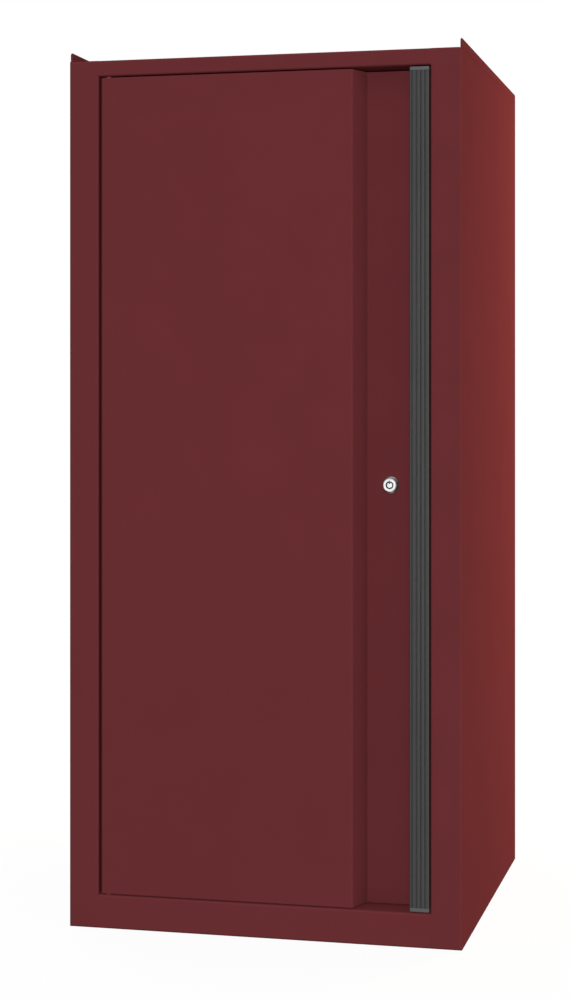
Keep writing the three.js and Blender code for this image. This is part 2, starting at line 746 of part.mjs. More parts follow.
function pullSection() {
  const middles = Array.from({ length: GROOVES }, (_, i) => GROOVE_INSET + i * GROOVE_PITCH);
  const grooves = middles.flatMap((middle) => [
    [middle - GROOVE_WIDTH / 2, 0],
    [middle - GROOVE_WIDTH / 4, GROOVE_DEPTH],
    [middle + GROOVE_WIDTH / 4, GROOVE_DEPTH],
    [middle + GROOVE_WIDTH / 2, 0],
  ]);
  const inner = PULL_WIDTH - PULL_WALL;
  const lipRound = (PULL_WALL / 2) * FULL_ROUND;
  return outline([
    [0, PULL_LIP, lipRound],
    [0, 0, PULL_CORNER],
    ...grooves,
    [PULL_WIDTH, 0, PULL_CORNER],
    [PULL_WIDTH, PULL_SEAT],
    [PULL_WIDTH - PULL_FOOT, PULL_SEAT],
    [PULL_WIDTH - PULL_FOOT, PULL_SEAT - PULL_WALL],
    [inner, PULL_SEAT - PULL_WALL, PULL_CORNER],
    [inner, PULL_FACE, PULL_CORNER],
    [PULL_WALL, PULL_FACE, PULL_CORNER],
    [PULL_WALL, PULL_LIP, lipRound],
  ]);
}

function doorPull() {
  const end = PULL_CAP + SEAM;
  return extrudeUp(pullSection(), end, DOOR_HEIGHT - end);
}

// End cap of the pull, drawn as the lower one, with a spigot that fits inside the extrusion
function pullCap() {
  const plate = outline([
    [0, 0, PULL_CORNER],
    [PULL_WIDTH, 0, PULL_CORNER],
    [PULL_WIDTH, PULL_SEAT],
    [0, PULL_SEAT],
  ]);
  const spigot = outline([
    [PULL_WALL + PULL_PLAY, PULL_FACE + PULL_PLAY, PULL_CORNER],
    [PULL_WIDTH - PULL_WALL - PULL_PLAY, PULL_FACE + PULL_PLAY, PULL_CORNER],
    [PULL_WIDTH - PULL_WALL - PULL_PLAY, PULL_SEAT - PULL_WALL - PULL_PLAY, PULL_CORNER],
    [PULL_WALL + PULL_PLAY, PULL_SEAT - PULL_WALL - PULL_PLAY, PULL_CORNER],
  ]);
  return join(extrudeUp(plate, 0, PULL_CAP), extrudeUp(spigot, PULL_CAP / 2, PULL_CAP + PULL_SPIGOT));
}

function makePull() {
  const pull = new THREE.Group();
  pull.add(
    part('door_pull', doorPull(), BLACK_ANODISED),
    part('pull_cap_bottom', pullCap(), BLACK_PLASTIC),
    placed(part('pull_cap_top', mirroredDown(pullCap()), BLACK_PLASTIC), 0, 0, DOOR_HEIGHT),
  );
  return pull;
}

// Hinge: a fixed pin above and below the door turns in a flanged bush in each end plate
function hingeBush() {
  const bore = PIN_RADIUS + PIN_PLAY;
  const flange = END_GAP - BUSH_PLAY;
  return turnedUp([
    [bore, -flange],
    [BUSH_FLANGE_RADIUS, -flange],
    [BUSH_FLANGE_RADIUS, -SEAM],
    [BUSH_RADIUS, -SEAM],
    [BUSH_RADIUS, SHEET + PIN_REACH],
    [bore, SHEET + PIN_REACH],
    [bore, -flange],
  ]);
}

// Bracket under the floor sheet, drawn from the hinge axis with its upper face at z = 0
function hingeBracket() {
  const half = BRACKET_WIDTH / 2;
  const front = -PIVOT_DEPTH + BEND + SEAM;
  const plate = outline([
    [-half, front],
    [half, front],
    [half, front + BRACKET_DEPTH, BRACKET_CORNER],
    [-half, front + BRACKET_DEPTH, BRACKET_CORNER],
  ]);
  return cut(extrudeUp(plate, -BRACKET, 0), turnedUp(rod(PIN_RADIUS + PIN_PLAY, -2 * BRACKET, BRACKET)));
}

// Pin with its head under the bracket, drawn from the same face
function hingePin() {
  const head = -BRACKET - SEAM;
  const end = SHEET + SEAM + END_GAP + PIN_REACH;
  return turnedUp([
    [0, head - PIN_HEAD],
    [PIN_HEAD_RADIUS, head - PIN_HEAD],
    [PIN_HEAD_RADIUS, head],
    [PIN_RADIUS, head],
    [PIN_RADIUS, end - PIN_PLAY],
    [0, end],
  ]);
}

function makeDoor() {
  const door = new THREE.Group();
  door.add(
    part('door_skin', doorSkin(), PAINT),
    part('door_liner', doorLiner(), PAINT),
    part('door_stiffener', doorStiffener(), PAINT),
    placed(makePull(), FREE_EDGE - PULL_WIDTH, 0, 0),
    placed(makeLock(), LOCK_X, RECESS_DEPTH, LOCK_Z),
    placed(part('hinge_bush_bottom', hingeBush(), BRONZE), PIVOT_INSET, PIVOT_DEPTH, 0),
    placed(part('hinge_bush_top', mirroredDown(hingeBush()), BRONZE), PIVOT_INSET, PIVOT_DEPTH, DOOR_HEIGHT),
  );
  return door;
}

function makeHinge() {
  const hinge = new THREE.Group();
  const underFloor = FLOOR - SHEET - SEAM;
  const overSoffit = OPENING_TOP + SHEET + SEAM;
  hinge.add(
    placed(part('hinge_bracket_bottom', hingeBracket(), ZINC), 0, 0, underFloor),
    placed(part('hinge_pin_bottom', hingePin(), ZINC), 0, 0, underFloor),
    placed(part('hinge_bracket_top', mirroredDown(hingeBracket()), ZINC), 0, 0, overSoffit),
    placed(part('hinge_pin_top', mirroredDown(hingePin()), ZINC), 0, 0, overSoffit),
  );
  return hinge;
}

// Catch: a housing with a magnet in its open front, drawn from the middle of that front, standing on z = 0
function catchHousing() {
  const half = CATCH_WIDTH / 2;
  const body = outline([
    [-half, 0],
    [half, 0],
    [half, CATCH_HEIGHT, CATCH_CORNER],
    [-half, CATCH_HEIGHT, CATCH_CORNER],
  ]);
  const pocket = half - CATCH_WALL;
  const depth = CATCH_DEPTH - CATCH_WALL;
  const hollow = block([-pocket, pocket], [-CATCH_WALL, depth], [CATCH_WALL, CATCH_HEIGHT - CATCH_WALL]);
  return cut(extrudeBack(body, 0, CATCH_DEPTH), hollow);
}

function catchMagnet() {
  const half = CATCH_WIDTH / 2 - CATCH_WALL - CATCH_PLAY;
  const depth = CATCH_DEPTH - CATCH_WALL - CATCH_PLAY;
  const low = CATCH_WALL + CATCH_PLAY;
  return block([-half, half], [-CATCH_PLAY, depth], [low, CATCH_HEIGHT - low]);
}

function catchPlate() {
  const half = CATCH_WIDTH / 2 - CATCH_WALL;
  const shape = outline([
    [-half, 0, CATCH_CORNER],
    [half, 0, CATCH_CORNER],
    [half, PLATE_HEIGHT, CATCH_CORNER],
    [-half, PLATE_HEIGHT, CATCH_CORNER],
  ]);
  return extrudeBack(shape, 0, PLATE);
}

function makeCatches() {
  const catches = new THREE.Group();
  const x = DOOR_LEFT + FREE_EDGE - CATCH_FROM_EDGE;
  const doorBack = FRONT + DOOR_THICKNESS + SEAM;
  const face = doorBack + PLATE + CATCH_AIR + CATCH_PLAY;
  const linerEnd = END_GAP + SHEET + SEAM + PLATE_EDGE;
  const ends = {
    bottom: { seat: FLOOR + SEAM, turn: 0, plate: FLOOR + linerEnd },
    top: { seat: OPENING_TOP - SEAM, turn: Math.PI, plate: OPENING_TOP - linerEnd - PLATE_HEIGHT },
  };
  for (const [end, { seat, turn, plate }] of Object.entries(ends)) {
    const housing = part(`catch_housing_${end}`, catchHousing(), BLACK_PLASTIC);
    const magnet = part(`catch_magnet_${end}`, catchMagnet(), MAGNET);
    housing.rotation.y = turn;
    magnet.rotation.y = turn;
    catches.add(
      placed(housing, x, face, seat),
      placed(magnet, x, face, seat),
      placed(part(`catch_plate_${end}`, catchPlate(), ZINC), x, doorBack, plate),
    );
  }
  return catches;
}

// Bumpers: rubber buttons on the stop flange of the free side
function makeBumpers() {
  const bumpers = new THREE.Group();
  const thickness = STOP_GAP - BUMPER_AIR;
  const x = OPENING_SIDE - STOP_FLANGE / 2;
  const heights = { bottom: FLOOR + BUMPER_INSET, top: OPENING_TOP - BUMPER_INSET };
  for (const [end, z] of Object.entries(heights)) {
    const button = turnedBack([
      [0, -thickness],
      [BUMPER_RADIUS - thickness, -thickness],
      [BUMPER_RADIUS, -SEAM],
      [0, -SEAM],
    ]);
    bumpers.add(placed(part(`bumper_${end}`, button, RUBBER), x, FRONT + STOP_DEPTH, z));
  }
  return bumpers;
}

const locker = new THREE.Group();
locker.add(
  makeCarcass(),
  makeShelving(),
  placed(makeDoor(), DOOR_LEFT, FRONT, DOOR_BOTTOM),
  placed(makeHinge(), DOOR_LEFT + PIVOT_INSET, FRONT + PIVOT_DEPTH, 0),
  makeCatches(),
  makeBumpers(),
);

export default locker;
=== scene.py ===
"""Looks for the side locker of a tool chest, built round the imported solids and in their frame.

Shapes are worked out in millimetres and become metres when their meshes are made.
"""

import json
import math

import bmesh
import bpy
import numpy as np
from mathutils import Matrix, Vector


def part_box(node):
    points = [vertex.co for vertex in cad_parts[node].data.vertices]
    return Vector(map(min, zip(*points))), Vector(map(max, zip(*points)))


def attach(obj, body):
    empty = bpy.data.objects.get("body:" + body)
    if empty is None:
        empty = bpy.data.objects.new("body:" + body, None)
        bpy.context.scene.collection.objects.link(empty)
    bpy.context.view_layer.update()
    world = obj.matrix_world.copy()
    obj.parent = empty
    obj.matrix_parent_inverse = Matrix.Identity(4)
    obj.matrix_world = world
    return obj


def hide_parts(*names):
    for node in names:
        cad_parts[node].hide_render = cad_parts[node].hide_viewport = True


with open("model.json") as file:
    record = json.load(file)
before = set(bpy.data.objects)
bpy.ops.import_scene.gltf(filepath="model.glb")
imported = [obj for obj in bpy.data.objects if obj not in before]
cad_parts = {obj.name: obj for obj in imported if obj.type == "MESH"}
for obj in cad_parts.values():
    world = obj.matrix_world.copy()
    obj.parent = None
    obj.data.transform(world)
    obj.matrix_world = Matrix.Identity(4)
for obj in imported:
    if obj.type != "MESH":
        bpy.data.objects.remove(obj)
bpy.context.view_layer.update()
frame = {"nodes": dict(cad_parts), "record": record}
nodes = frame["nodes"]

# Sizes that repeat those of the solids and that several pieces share, in millimetres
MM = 0.001
SIDE, FRONT, BACK = 254.0, -262.0, 262.0
DECK, HEIGHT = 1111.0, 1123.0
FLOOR, OPENING_TOP, OPENING_SIDE = 43.0, 1090.5, 215.0
SHEET, BEND = 1.2, 1.5
FOLD = SHEET + BEND  # outside radius of a fold
FLANGE_BACK = 260.75
DOOR_LEFT, DOOR_RIGHT, DOOR_BOTTOM, DOOR_TOP = -211.5, 211.5, 44.8, 1088.7
DOOR_BACK, STRIP_FACE = -217.0, -230.0
SEAM = 0.05  # gap between solids that touch

# Sizes of the finish
EDGE = 0.3  # rounding of a cut sheet edge
JOIN = 0.02  # gap between shells that meet end to end, and rounding of edges that meet
EASE = 0.2  # bevel on the edges of a solid
HOLD = 0.3  # how far beside its arc a corner holds the flat, in radii
MERGE = 1e-6  # points closer than this are one, in metres
SHARP = math.radians(40)  # turn of the surface from which an edge is sharp


# Shapes

def rounded(corners, radii, closed=True, steps=8):
    """Outline through corners, each an arc tangent to its two sides. An arc starts before its corner
    by the radius times the tangent of half the turn, and swings about a centre one radius off the
    line. A point just before and just after each arc holds the flats flat. An open outline runs from
    its first corner to its last, whose radii aren't used."""
    p = np.asarray(corners, float)
    r = np.broadcast_to(np.asarray(radii, float), len(p))
    into = p - np.roll(p, 1, axis=0)
    out = np.roll(p, -1, axis=0) - p
    into = into / np.linalg.norm(into, axis=1)[:, None]
    out = out / np.linalg.norm(out, axis=1)[:, None]
    turn = np.arctan2(into[:, 0] * out[:, 1] - into[:, 1] * out[:, 0], (into * out).sum(1))
    spoke = np.stack([into[:, 1], -into[:, 0]], 1) * np.sign(turn)[:, None]
    start = p - into * (r * np.tan(np.abs(turn) / 2))[:, None]
    centre = start - spoke * r[:, None]
    angle = turn[:, None] * np.linspace(0, 1, steps + 1)[None, :]
    swung = np.stack([
        np.cos(angle) * spoke[:, :1] - np.sin(angle) * spoke[:, 1:],
        np.sin(angle) * spoke[:, :1] + np.cos(angle) * spoke[:, 1:],
    ], -1)
    arcs = centre[:, None, :] + r[:, None, None] * swung
    hold = HOLD * r[:, None]
    lead, tail = start - into * hold, arcs[:, -1] + out * hold
    line = np.concatenate([lead[:, None], arcs, tail[:, None]], 1)
    if closed:
        return line.reshape(-1, 2)
    return np.concatenate([p[:1], line[1:-1].reshape(-1, 2), p[-1:]])


def sheet_section(path, edge=EDGE):
    """Outline of a folded sheet. The near face follows the path, and the far face is the path moved to
    its right by the sheet's thickness, with mitred corners. A fold has the inside radius on its inner
    face and the outside radius on its outer face."""
    p = np.asarray(path, float)
    along = np.diff(p, axis=0)
    along = along / np.linalg.norm(along, axis=1)[:, None]
    right = np.stack([along[:, 1], -along[:, 0]], 1)
    before, after = right[:-1], right[1:]
    mitre = (before + after) / (1 + (before * after).sum(1))[:, None]
    offset = np.concatenate([right[:1], mitre, right[-1:]])
    right_turn = (along[1:] * before).sum(1) > 0
    near = np.where(right_turn, FOLD, BEND)
    far = np.where(right_turn, BEND, FOLD)
    corners = np.concatenate([p, (p + offset * SHEET)[::-1]])
    return rounded(corners, np.concatenate([[edge], near, [edge, edge], far[::-1], [edge]]))


def quarter_round(radius, steps):
    """Inset and rise of points on a quarter circle: the radius times one less the sine of the angle,
    and times one less its cosine."""
    angle = np.linspace(0, np.pi / 2, steps)
    return radius * (1 - np.sin(angle)), radius * (1 - np.cos(angle))


def drawn_in(low, high, radius, steps):
    """Stations from low to high, and the inset at each where both ends draw in by a quarter circle."""
    inset, rise = quarter_round(radius, steps)
    return np.concatenate([low + rise, (high - rise)[::-1]]), np.concatenate([inset, inset[::-1]])


def grid_faces(rows, columns, wrap):
    """Quads of a grid of points, row by row, with the last column joined to the first where it wraps."""
    c = np.arange(columns if wrap else columns - 1)
    r = np.arange(rows - 1)[:, None] * columns
    n = (c + 1) % columns
    return np.stack([r + c, r + n, r + columns + n, r + columns + c], -1).reshape(-1, 4).tolist()


AXES = {"x": (1, 2, 0), "y": (0, 2, 1), "z": (0, 1, 2)}  # places of the two drawn coordinates and the length


def carried(section, stations, axis, wrap=True):
    """A section carried straight along an axis and closed at both ends: the point at (station, place
    on the section) has the section's two coordinates and the station's length. A section of shape
    (stations, points, 2) changes along the way."""
    stations = np.asarray(stations, float)
    section = np.broadcast_to(section, (len(stations),) + np.shape(section)[-2:])
    rows, columns = section.shape[:2]
    points = np.empty((rows, columns, 3))
    first, second, length = AXES[axis]
    points[..., first] = section[..., 0]
    points[..., second] = section[..., 1]
    points[..., length] = stations[:, None]
    start, end = list(range(columns)), list(range((rows - 1) * columns, rows * columns))
    return points.reshape(-1, 3), grid_faces(rows, columns, wrap) + [start[::-1], end]


def turned(profile, centre, axis, steps=96):
    """A profile of (radius, length) spun about an axis through a centre: the point at (profile place,
    angle) is the radius times the cosine and sine of the angle, and the length along the axis."""
    profile = np.asarray(profile, float)
    angle = np.linspace(0, 2 * np.pi, steps, endpoint=False)
    first, second, length = AXES[axis]
    points = np.empty((len(profile), steps, 3))
    points[..., first] = profile[:, :1] * np.cos(angle)
    points[..., second] = profile[:, :1] * np.sin(angle)
    points[..., length] = profile[:, 1:]
    return (points + np.asarray(centre, float)).reshape(-1, 3), grid_faces(len(profile), steps, True)


def head(radius, height, axis, way):
    """A low domed head on the plane through the origin: the radius falls as a cosine while the height
    rises as a sine up to the pole. It points along the axis, the way of the sign."""
    rise = np.linspace(0, np.pi / 2, 6)
    profile = np.stack([radius * np.cos(rise), way * height * np.sin(rise)], 1)
    base = [[0.0, 0.0]]
    return turned(np.concatenate([base, profile]), [0, 0, 0], axis, 20)


def together(*shells):
    """Several shells as one list of points and one list of faces."""
    starts = np.cumsum([0] + [len(points) for points, _ in shells]).tolist()
    faces = [[i + start for i in face] for start, (_, part) in zip(starts, shells) for face in part]
    return np.concatenate([points for points, _ in shells]), faces


def repeated(shell, places):
    """The same shell at many places: every point is the shell's point plus the place."""
    points, faces = shell
    moved = np.asarray(places, float)[:, None, :] + points[None]
    return together(*[(one, faces) for one in moved])


# Meshes and pieces

def shaped(name, shell, facing=None):
    """A smooth mesh from a shell, with points that meet merged and faces turned outwards. An open
    sheet says which way most of it faces."""
    points, faces = shell
    mesh = bpy.data.meshes.new(name)
    mesh.from_pydata((points * MM).tolist(), [], faces)
    work = bmesh.new()
    work.from_mesh(mesh)
    bmesh.ops.remove_doubles(work, verts=work.verts, dist=MERGE)
    bmesh.ops.recalc_face_normals(work, faces=work.faces)
    if facing:
        lean = sum(face.calc_area() * face.normal.dot(facing) for face in work.faces)
        if lean < 0:
            bmesh.ops.reverse_faces(work, faces=work.faces)
    work.to_mesh(mesh)
    work.free()
    mesh.shade_smooth()
    return mesh


def placed(name, data):
    """An object in the scene, at the origin."""
    made = bpy.data.objects.new(name, data)
    bpy.context.scene.collection.objects.link(made)
    return made


def piece(name, shell, material, body, replaced=(), facing=None):
    """A finished piece: its mesh and material, the body that it rides on and the nodes that it
    replaces."""
    mesh = shaped(name, shell, facing)
    mesh.set_sharp_from_angle(angle=SHARP)
    mesh.materials.append(material)
    made = placed(name, mesh)
    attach(made, body)
    if replaced:
        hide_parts(*replaced)
    return made


def walled(sheet):
    """Gives an open sheet its thickness, inwards from the modelled face."""
    wall = sheet.modifiers.new("sheet", "SOLIDIFY")
    wall.thickness = SHEET * MM
    wall.offset = -1
    wall.use_even_offset = True


# Shader groups and finishes

MOTTLE_RANGE = (0.3, 0.7)  # mottle at which a finish has its dark and its light colour


def group(name, inputs, outputs):
    """An empty shader node group with float inputs {name: default} and float outputs."""
    tree = bpy.data.node_groups.new(name, "ShaderNodeTree")
    for label, value in inputs.items():
        socket = tree.interface.new_socket(label, in_out="INPUT", socket_type="NodeSocketFloat")
        socket.default_value = value
    for label in outputs:
        tree.interface.new_socket(label, in_out="OUTPUT", socket_type="NodeSocketFloat")
    return tree, tree.nodes.new("NodeGroupInput"), tree.nodes.new("NodeGroupOutput")


def add(tree, kind, settings=None, links=None, values=None):
    """A node with its settings, its linked inputs {socket: output} and its set inputs {socket: value}."""
    node = tree.nodes.new(kind)
    for label, value in (settings or {}).items():
        setattr(node, label, value)
    for label, value in (values or {}).items():
        node.inputs[label].default_value = value
    for label, output in (links or {}).items():
        tree.links.new(output, node.inputs[label])
    return node


def math_node(tree, operation, first, second):
    """The output of a node that works on two outputs."""
    return add(tree, "ShaderNodeMath", {"operation": operation}, {0: first, 1: second}).outputs[0]


def grain_group():
    """Skin of a coated or moulded surface: fine peel for its height, wide mottle, and a roughness that
    wavers with the product of both."""
    tree, given, put = group(
        "surface_grain",
        {"Peel scale": 900.0, "Mottle scale": 9.0, "Roughness": 0.4, "Waver": 0.08},
        ["Height", "Mottle", "Roughness"],
    )
    place = add(tree, "ShaderNodeTexCoord").outputs["Object"]
    peel = add(tree, "ShaderNodeTexNoise", links={"Vector": place, "Scale": given.outputs["Peel scale"]},
               values={"Detail": 2.0, "Roughness": 0.55}).outputs["Fac"]
    mottle = add(tree, "ShaderNodeTexNoise", links={"Vector": place, "Scale": given.outputs["Mottle scale"]},
                 values={"Detail": 4.0, "Roughness": 0.6}).outputs["Fac"]
    speck = math_node(tree, "MULTIPLY", peel, mottle)
    waver = math_node(tree, "MULTIPLY", speck, given.outputs["Waver"])
    rough = math_node(tree, "ADD", given.outputs["Roughness"], waver)
    tree.links.new(peel, put.inputs["Height"])
    tree.links.new(mottle, put.inputs["Mottle"])
    tree.links.new(rough, put.inputs["Roughness"])
    return tree


def streak_group():
    """Fine lines that run along Z, as on drawn metal: noise read on coordinates squeezed along Z."""
    tree, given, put = group("drawn_streaks", {"Across": 1800.0, "Along": 12.0}, ["Streak"])
    place = add(tree, "ShaderNodeTexCoord").outputs["Object"]
    across, along = given.outputs["Across"], given.outputs["Along"]
    scale = add(tree, "ShaderNodeCombineXYZ", links={"X": across, "Y": across, "Z": along})
    squeezed = add(tree, "ShaderNodeVectorMath", {"operation": "MULTIPLY"}, {0: place, 1: scale.outputs[0]})
    noise = add(tree, "ShaderNodeTexNoise", links={"Vector": squeezed.outputs[0]},
                values={"Scale": 1.0, "Detail": 3.0})
    tree.links.new(noise.outputs["Fac"], put.inputs["Streak"])
    return tree


GRAIN = grain_group()
STREAKS = streak_group()


def finish(name, slot, dark, light, grain, bump, streak=0.0, shader=None):
    """A finish: colour wavers between dark and light with the mottle, roughness and bump come from the
    grain, and drawn streaks may take a share of colour and bump."""
    made = bpy.data.materials.new(name)
    made["slot"] = slot
    made.use_nodes = True
    tree = made.node_tree
    surface = tree.nodes["Principled BSDF"]
    for label, value in (shader or {}).items():
        surface.inputs[label].default_value = value
    skin = add(tree, "ShaderNodeGroup", {"node_tree": GRAIN}, values=grain)
    mix, height = skin.outputs["Mottle"], skin.outputs["Height"]
    if streak:
        lines = add(tree, "ShaderNodeGroup", {"node_tree": STREAKS}).outputs["Streak"]
        mix, height = (
            add(tree, "ShaderNodeMix", {"data_type": "FLOAT"}, {"A": plain, "B": lines},
                {"Factor": streak}).outputs["Result"]
            for plain in (mix, height))
    ramp = add(tree, "ShaderNodeValToRGB", links={"Fac": mix})
    for stop, place, colour in zip(ramp.color_ramp.elements, MOTTLE_RANGE, (dark, light)):
        stop.position = place
        stop.color = (*colour, 1)
    tree.links.new(ramp.outputs["Color"], surface.inputs["Base Color"])
    tree.links.new(skin.outputs["Roughness"], surface.inputs["Roughness"])
    relief = add(tree, "ShaderNodeBump", links={"Height": height}, values=bump)
    tree.links.new(relief.outputs["Normal"], surface.inputs["Normal"])
    return made


RED_PAINT = finish(
    "red_powder_coat", "red_paint", dark=(0.123, 0.0245, 0.0275), light=(0.129, 0.026, 0.0291),
    grain={"Peel scale": 700.0, "Mottle scale": 14.0, "Roughness": 0.84, "Waver": 0.2},
    bump={"Strength": 0.25, "Distance": 0.0003}, shader={"Specular IOR Level": 0.0},
)
BLACK_PULL = finish(
    "black_anodised_pull", "black_anodised", dark=(0.0295, 0.0296, 0.0296), light=(0.041, 0.0411, 0.0411),
    grain={"Peel scale": 1500.0, "Mottle scale": 6.0, "Roughness": 0.36, "Waver": 0.2},
    bump={"Strength": 0.2, "Distance": 0.0002}, streak=0.7, shader={"Specular IOR Level": 0.28},
)
BLACK_PLASTIC = finish(
    "black_moulded_plastic", "black_plastic", dark=(0.045, 0.046, 0.046), light=(0.06, 0.061, 0.061),
    grain={"Peel scale": 2200.0, "Mottle scale": 20.0, "Roughness": 0.45, "Waver": 0.2},
    bump={"Strength": 0.35, "Distance": 0.0002},
)
RUBBER = finish(
    "black_rubber", "rubber", dark=(0.014, 0.014, 0.014), light=(0.024, 0.024, 0.024),
    grain={"Peel scale": 1600.0, "Mottle scale": 40.0, "Roughness": 0.7, "Waver": 0.2},
    bump={"Strength": 0.4, "Distance": 0.0002},
)
CHROME = finish(
    "bright_chrome", "chrome", dark=(0.78, 0.78, 0.79), light=(0.86, 0.86, 0.865),
    grain={"Peel scale": 2500.0, "Mottle scale": 60.0, "Roughness": 0.1, "Waver": 0.1},
    bump={"Strength": 0.05, "Distance": 0.0001}, shader={"Metallic": 1.0},
)
ZINC = finish(
    "zinc_plated_steel", "zinc_plate", dark=(0.42, 0.43, 0.44), light=(0.55, 0.555, 0.56),
    grain={"Peel scale": 1800.0, "Mottle scale": 120.0, "Roughness": 0.3, "Waver": 0.3},
    bump={"Strength": 0.15, "Distance": 0.0002}, streak=0.3, shader={"Metallic": 1.0},
)
BRONZE = finish(
    "sintered_bronze", "bronze", dark=(0.13, 0.04, 0.03), light=(0.18, 0.058, 0.042),
    grain={"Peel scale": 1400.0, "Mottle scale": 50.0, "Roughness": 0.5, "Waver": 0.15},
    bump={"Strength": 0.2, "Distance": 0.0002}, shader={"Metallic": 1.0},
)
FERRITE = finish(
    "ferrite_magnet", "magnet", dark=(0.035, 0.035, 0.037), light=(0.06, 0.06, 0.063),
    grain={"Peel scale": 2600.0, "Mottle scale": 150.0, "Roughness": 0.55, "Waver": 0.3},
    bump={"Strength": 0.5, "Distance": 0.0002},
)
FINISHES = {made["slot"]: made for made in (
    RED_PAINT, BLACK_PULL, BLACK_PLASTIC, RUBBER, CHROME, ZINC, BRONZE, FERRITE)}


# Carcass

STOP_DEPTH, STOP_FLANGE, REAR_FLANGE = 47.0, 15.0, 18.0
SOFFIT, FOOT = 75.0, 25.0
DOWN_FLANGE = 20.0  # at the rear and sides of the deck and the sides of the floor
LIP_SETBACK, LIP_CORNER, LIP_ROOT = 5.0, 3.0, 0.5
HEM, HEM_ROUND = 2.4, 1.14
BACK_INSET = 1.0
WELD_COLUMNS = np.array([-245.0, -150.0, -50.0, 50.0, 150.0, 245.0])
WELD_ROWS = np.linspace(20.0, 1101.0, 12)
WELD_DEPTH, WELD_RADIUS = 0.35, 2.6


def side_shell(side):
    """Side panel. A folded section of stop flange, jamb, stile, wall and rear flange is carried up
    between the floor and the soffit. Below and above, it has no flange or jamb, and the stile's face
    draws back by a quarter circle as the rails' folds do. The hemmed lip is carried back along the
    top, and its height eases down over its two end corners as a quarter circle does. The side is 1 for
    the left panel and -1 for the right."""
    stop, flange_edge = FRONT + STOP_DEPTH, -SIDE + REAR_FLANGE
    stile = [[-OPENING_SIDE, FRONT], [-SIDE, FRONT], [-SIDE, FLANGE_BACK], [flange_edge, FLANGE_BACK]]
    jamb = [[-OPENING_SIDE + STOP_FLANGE, stop], [-OPENING_SIDE, stop], *stile]
    plain, rebated = sheet_section(stile, edge=JOIN), sheet_section(jamb)
    inset, rise = quarter_round(FOLD, 7)
    face = np.repeat([FRONT, FRONT + SHEET], len(plain) // 2)
    depth = np.maximum(plain[:, 1], face + inset[:, None])
    drawn = np.stack(np.broadcast_arrays(plain[:, 0], depth), -1)
    foot = np.concatenate([drawn, plain[None]])
    brow = np.concatenate([plain[None], drawn[::-1]])
    stations, drop = drawn_in(FRONT + LIP_SETBACK, FLANGE_BACK - FOLD, LIP_CORNER, 9)
    root, inner = DECK - LIP_ROOT, -SIDE + HEM
    hem = rounded([[-SIDE, root], [-SIDE, HEIGHT], [inner, HEIGHT], [inner, root]],
                  [0.05, HEM_ROUND, HEM_ROUND, 0.05])
    lip = np.repeat(hem[None], len(stations), 0)
    lip[..., 1] = root + (lip[..., 1] - root) * (1 - drop / (HEIGHT - root))[:, None]
    points, faces = together(
        carried(foot, np.concatenate([rise, [FLOOR]]), "z"),
        carried(rebated, [FLOOR + JOIN, OPENING_TOP - JOIN], "z"),
        carried(brow, np.concatenate([[OPENING_TOP], (DECK - rise)[::-1]]), "z"),
        carried(lip, stations, "y"),
    )
    return points * [side, 1, 1], faces


def decked(section, level):
    """A panel across the locker: its folded section is carried across between the stiles, and beside
    it, at the level, a section with a flange down the wall is carried back on each side."""
    edge = SIDE - SHEET - SEAM
    wing = sheet_section([[-edge, level - DOWN_FLANGE], [-edge, level], [-OPENING_SIDE, level]])
    stations = [FRONT + SHEET + SEAM, FLANGE_BACK - FOLD]
    return together(
        carried(section, [-OPENING_SIDE, OPENING_SIDE], "x"),
        carried(wing, stations, "y"),
        carried(wing * [-1, 1], stations, "y"),
    )


def top_shell():
    """Top panel: soffit, rail, deck and rear flange are one folded section."""
    return decked(sheet_section([
        [FRONT + SOFFIT, OPENING_TOP], [FRONT, OPENING_TOP], [FRONT, DECK],
        [FLANGE_BACK, DECK], [FLANGE_BACK, DECK - DOWN_FLANGE],
    ]), DECK)


def base_shell():
    """Base pan: front foot, rail, floor, rear flange and rear foot are one folded section."""
    return decked(sheet_section([
        [FRONT + FOOT, 0], [FRONT, 0], [FRONT, FLOOR],
        [FLANGE_BACK, FLOOR], [FLANGE_BACK, 0], [FLANGE_BACK - FOOT, 0],
    ]), FLOOR)


def gap(place, lines):
    """Distance from each place to the nearest of the lines."""
    return np.abs(place[..., None] - lines).min(-1)


def back_shell():
    """Back panel: one grid of points from corner to corner, with a row of spot welds along each edge.
    Its lines crowd round each column and row of welds, and the sheet sinks at a weld by the depth
    times a bell of the distance to it."""
    near = np.linspace(-1.8, 1.8, 9) * WELD_RADIUS
    width, height = [-SIDE + BACK_INSET, SIDE - BACK_INSET], [BACK_INSET, DECK - BACK_INSET]
    columns = np.unique(np.concatenate([width, (WELD_COLUMNS[:, None] + near).ravel()]))
    rows = np.unique(np.concatenate([height, (WELD_ROWS[:, None] + near).ravel()]))
    x, z = np.meshgrid(columns, rows)
    to_sides = np.hypot(gap(x, WELD_COLUMNS[[0, -1]]), gap(z, WELD_ROWS))
    to_ends = np.hypot(gap(x, WELD_COLUMNS), gap(z, WELD_ROWS[[0, -1]]))
    dent = WELD_DEPTH * np.exp(-(np.minimum(to_sides, to_ends) / WELD_RADIUS) ** 4)
    points = np.stack([x, BACK - dent, z], -1)
    return points.reshape(-1, 3), grid_faces(*x.shape, False)


piece("left_side_sheet", side_shell(1), RED_PAINT, "cabinet", ["left_side_panel"])
piece("right_side_sheet", side_shell(-1), RED_PAINT, "cabinet", ["right_side_panel"])
piece("top_sheet", top_shell(), RED_PAINT, "cabinet", ["top_panel"])
piece("base_sheet", base_shell(), RED_PAINT, "cabinet", ["base_pan"])
walled(piece("back_sheet", back_shell(), RED_PAINT, "cabinet", ["back_panel"], facing=(0, 1, 0)))


# Door

